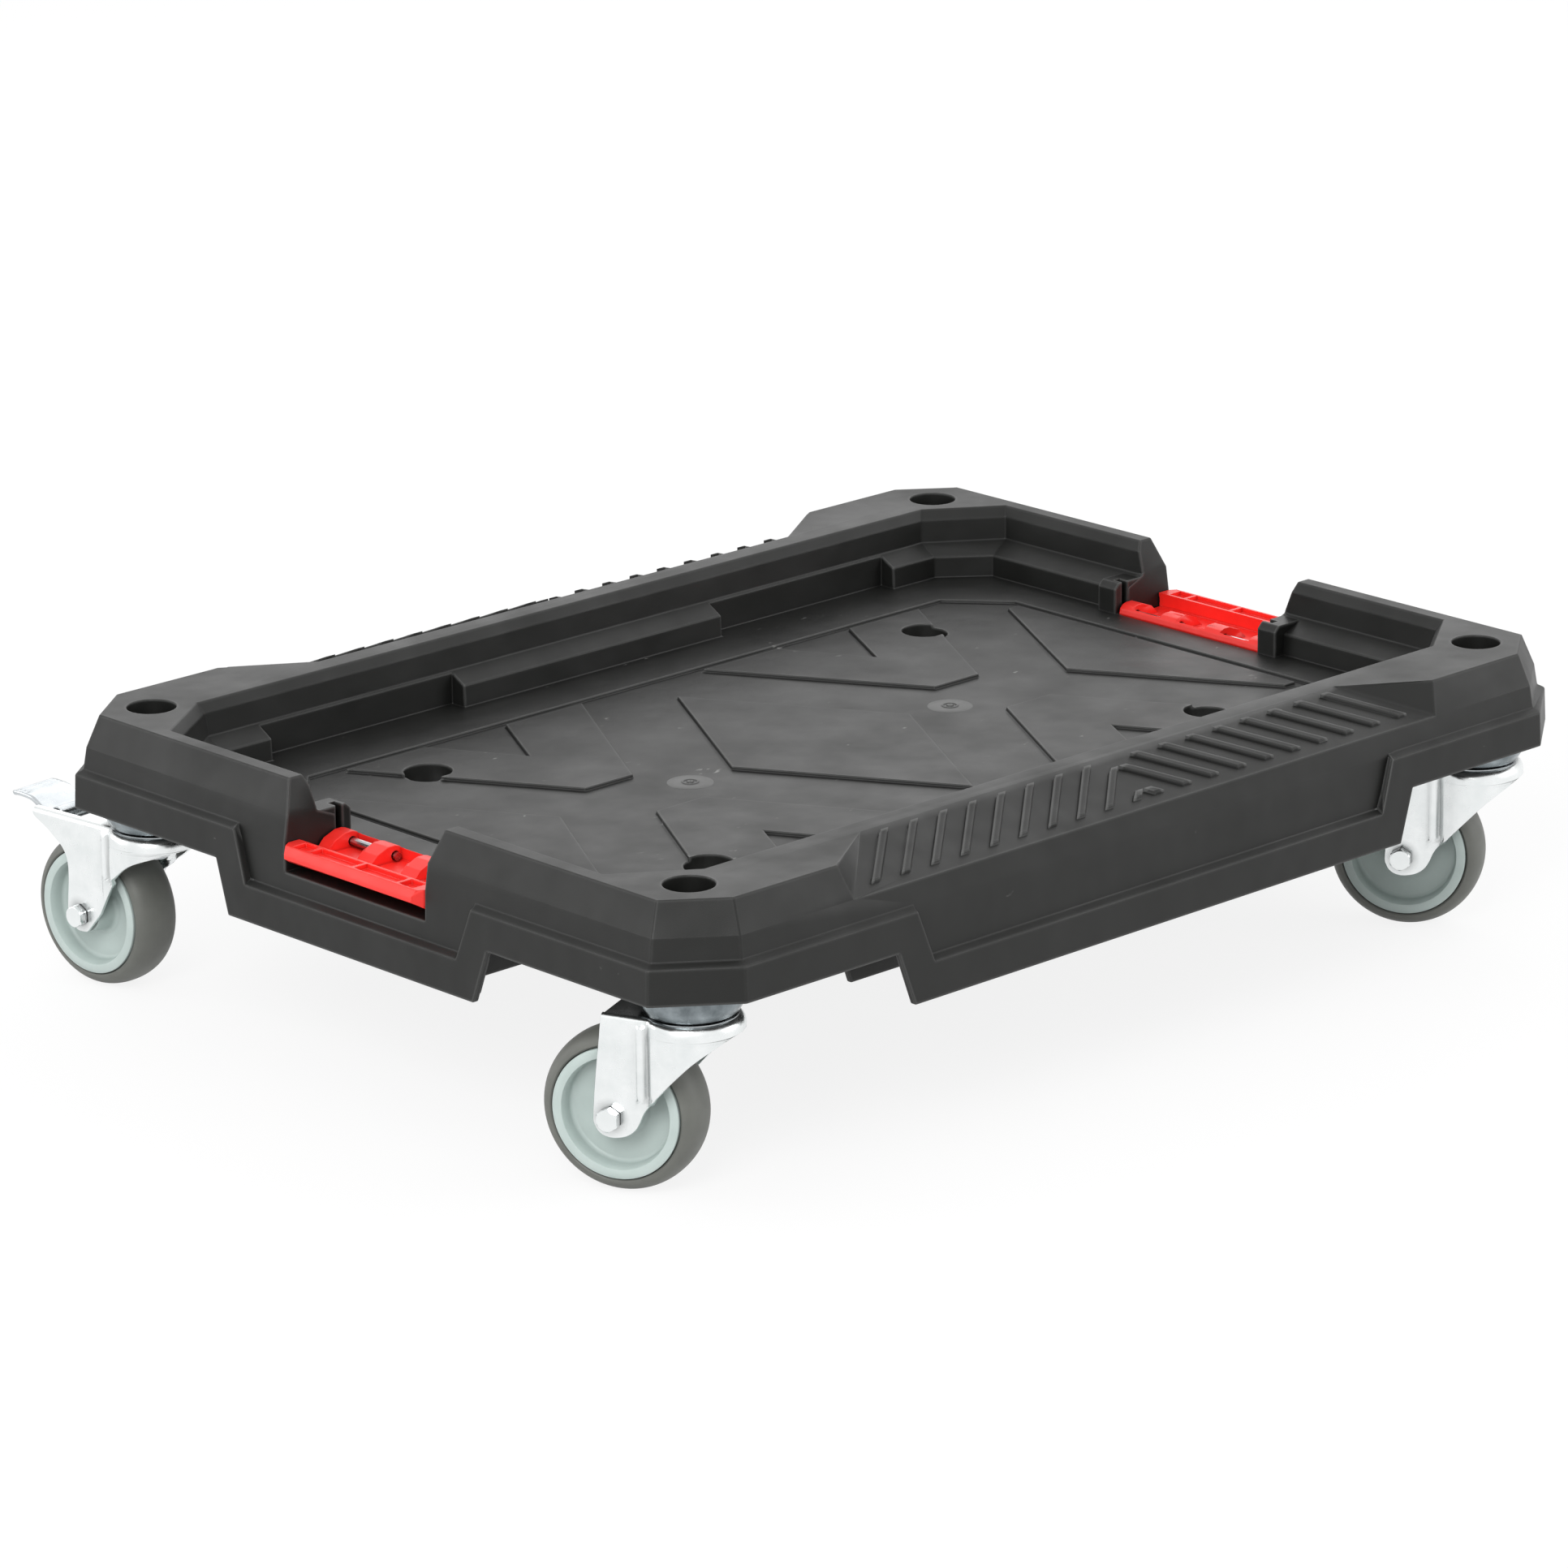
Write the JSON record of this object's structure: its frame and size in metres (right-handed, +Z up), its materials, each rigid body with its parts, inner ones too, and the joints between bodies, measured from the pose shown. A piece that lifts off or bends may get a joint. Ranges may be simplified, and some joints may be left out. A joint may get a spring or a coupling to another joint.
{
  "type": "tray dolly on casters",
  "caption": "Shallow plastic tray dolly with cut corners, fold-up end latches and ribbed hand grips, on swivel casters, for moving stacked cases or crates.",
  "frame": {"origin": "middle of the load floor, on the top of its raised middle panel", "axes": "+X along the tray's long side, +Y across it toward the braked casters, +Z up, out of the load floor"},
  "size_m": [0.6116, 0.5158, 0.1479],
  "materials": {
    "tray_plastic": "satin moulded plastic, charcoal",
    "latch_plastic": "semi-gloss moulded plastic, red",
    "hub_plastic": "satin moulded plastic, pale grey",
    "tyre_rubber": "matt rubber, grey",
    "zinc_steel": "bright zinc plate"
  },
  "bodies": {
    "tray": {"tray": "tray_plastic", "latch_pin_left_a": "zinc_steel", "latch_pin_left_b": "zinc_steel", "latch_pin_right_a": "zinc_steel", "latch_pin_right_b": "zinc_steel", "mount_bolt_front": "zinc_steel", "mount_nut_front": "zinc_steel", "cup_front": "zinc_steel", "king_bush_front": "zinc_steel", "ball_ring_front": "zinc_steel", "mount_bolt_left": "zinc_steel", "mount_nut_left": "zinc_steel", "cup_left": "zinc_steel", "king_bush_left": "zinc_steel", "ball_ring_left": "zinc_steel", "mount_bolt_right": "zinc_steel", "mount_nut_right": "zinc_steel", "cup_right": "zinc_steel", "king_bush_right": "zinc_steel", "ball_ring_right": "zinc_steel", "mount_bolt_back": "zinc_steel", "mount_nut_back": "zinc_steel", "cup_back": "zinc_steel", "king_bush_back": "zinc_steel", "ball_ring_back": "zinc_steel"},
    "latch_left": {"latch_left": "latch_plastic"},
    "latch_right": {"latch_right": "latch_plastic"},
    "fork_front": {"fork_front": "zinc_steel", "axle_bolt_front": "zinc_steel", "axle_nut_front": "zinc_steel", "axle_sleeve_front": "zinc_steel"},
    "wheel_front": {"hub_front": "hub_plastic", "tyre_front": "tyre_rubber"},
    "fork_left": {"fork_left": "zinc_steel", "axle_bolt_left": "zinc_steel", "axle_nut_left": "zinc_steel", "axle_sleeve_left": "zinc_steel", "pedal_pin_left": "zinc_steel", "brake_shoe_left": "zinc_steel"},
    "wheel_left": {"hub_left": "hub_plastic", "tyre_left": "tyre_rubber"},
    "pedal_left": {"pedal_left": "zinc_steel"},
    "fork_right": {"fork_right": "zinc_steel", "axle_bolt_right": "zinc_steel", "axle_nut_right": "zinc_steel", "axle_sleeve_right": "zinc_steel"},
    "wheel_right": {"hub_right": "hub_plastic", "tyre_right": "tyre_rubber"},
    "fork_back": {"fork_back": "zinc_steel", "axle_bolt_back": "zinc_steel", "axle_nut_back": "zinc_steel", "axle_sleeve_back": "zinc_steel", "pedal_pin_back": "zinc_steel", "brake_shoe_back": "zinc_steel"},
    "wheel_back": {"hub_back": "hub_plastic", "tyre_back": "tyre_rubber"},
    "pedal_back": {"pedal_back": "zinc_steel"}
  },
  "joints": [
    {"name": "latch_left_fold", "type": "hinge", "parent": "tray", "child": "latch_left", "pos_m": [-0.267, 0, 0.0003], "axis": [0, 1, 0], "range_deg": [0, 90]},
    {"name": "latch_right_fold", "type": "hinge", "parent": "tray", "child": "latch_right", "pos_m": [0.267, 0, 0.0003], "axis": [0, -1, 0], "range_deg": [0, 90]},
    {"name": "swivel_front", "type": "hinge", "parent": "tray", "child": "fork_front", "pos_m": [-0.266, -0.1914, -0.0121], "axis": [0, 0, 1], "continuous": true},
    {"name": "roll_front", "type": "hinge", "parent": "fork_front", "child": "wheel_front", "pos_m": [-0.27902, -0.16217, -0.0751], "axis": [-0.9135, -0.4067, 0], "continuous": true},
    {"name": "swivel_left", "type": "hinge", "parent": "tray", "child": "fork_left", "pos_m": [-0.266, 0.1914, -0.0121], "axis": [0, 0, 1], "continuous": true},
    {"name": "roll_left", "type": "hinge", "parent": "fork_left", "child": "wheel_left", "pos_m": [-0.26976, 0.2272, -0.0751], "axis": [-0.9945, -0.1045, 0], "continuous": true},
    {"name": "brake_left", "type": "hinge", "parent": "fork_left", "child": "pedal_left", "pos_m": [-0.2718, 0.2466, -0.0293], "axis": [-0.9945, -0.1045, 0], "range_deg": [0, 18]},
    {"name": "swivel_right", "type": "hinge", "parent": "tray", "child": "fork_right", "pos_m": [0.266, -0.1914, -0.0121], "axis": [0, 0, 1], "continuous": true},
    {"name": "roll_right", "type": "hinge", "parent": "fork_right", "child": "wheel_right", "pos_m": [0.24952, -0.16397, -0.0751], "axis": [-0.8572, -0.515, 0], "continuous": true},
    {"name": "swivel_back", "type": "hinge", "parent": "tray", "child": "fork_back", "pos_m": [0.266, 0.1914, -0.0121], "axis": [0, 0, 1], "continuous": true},
    {"name": "roll_back", "type": "hinge", "parent": "fork_back", "child": "wheel_back", "pos_m": [0.26976, 0.2272, -0.0751], "axis": [-0.9945, 0.1045, 0], "continuous": true},
    {"name": "brake_back", "type": "hinge", "parent": "fork_back", "child": "pedal_back", "pos_m": [0.2718, 0.2466, -0.0293], "axis": [-0.9945, 0.1045, 0], "range_deg": [0, 18]}
  ]
}
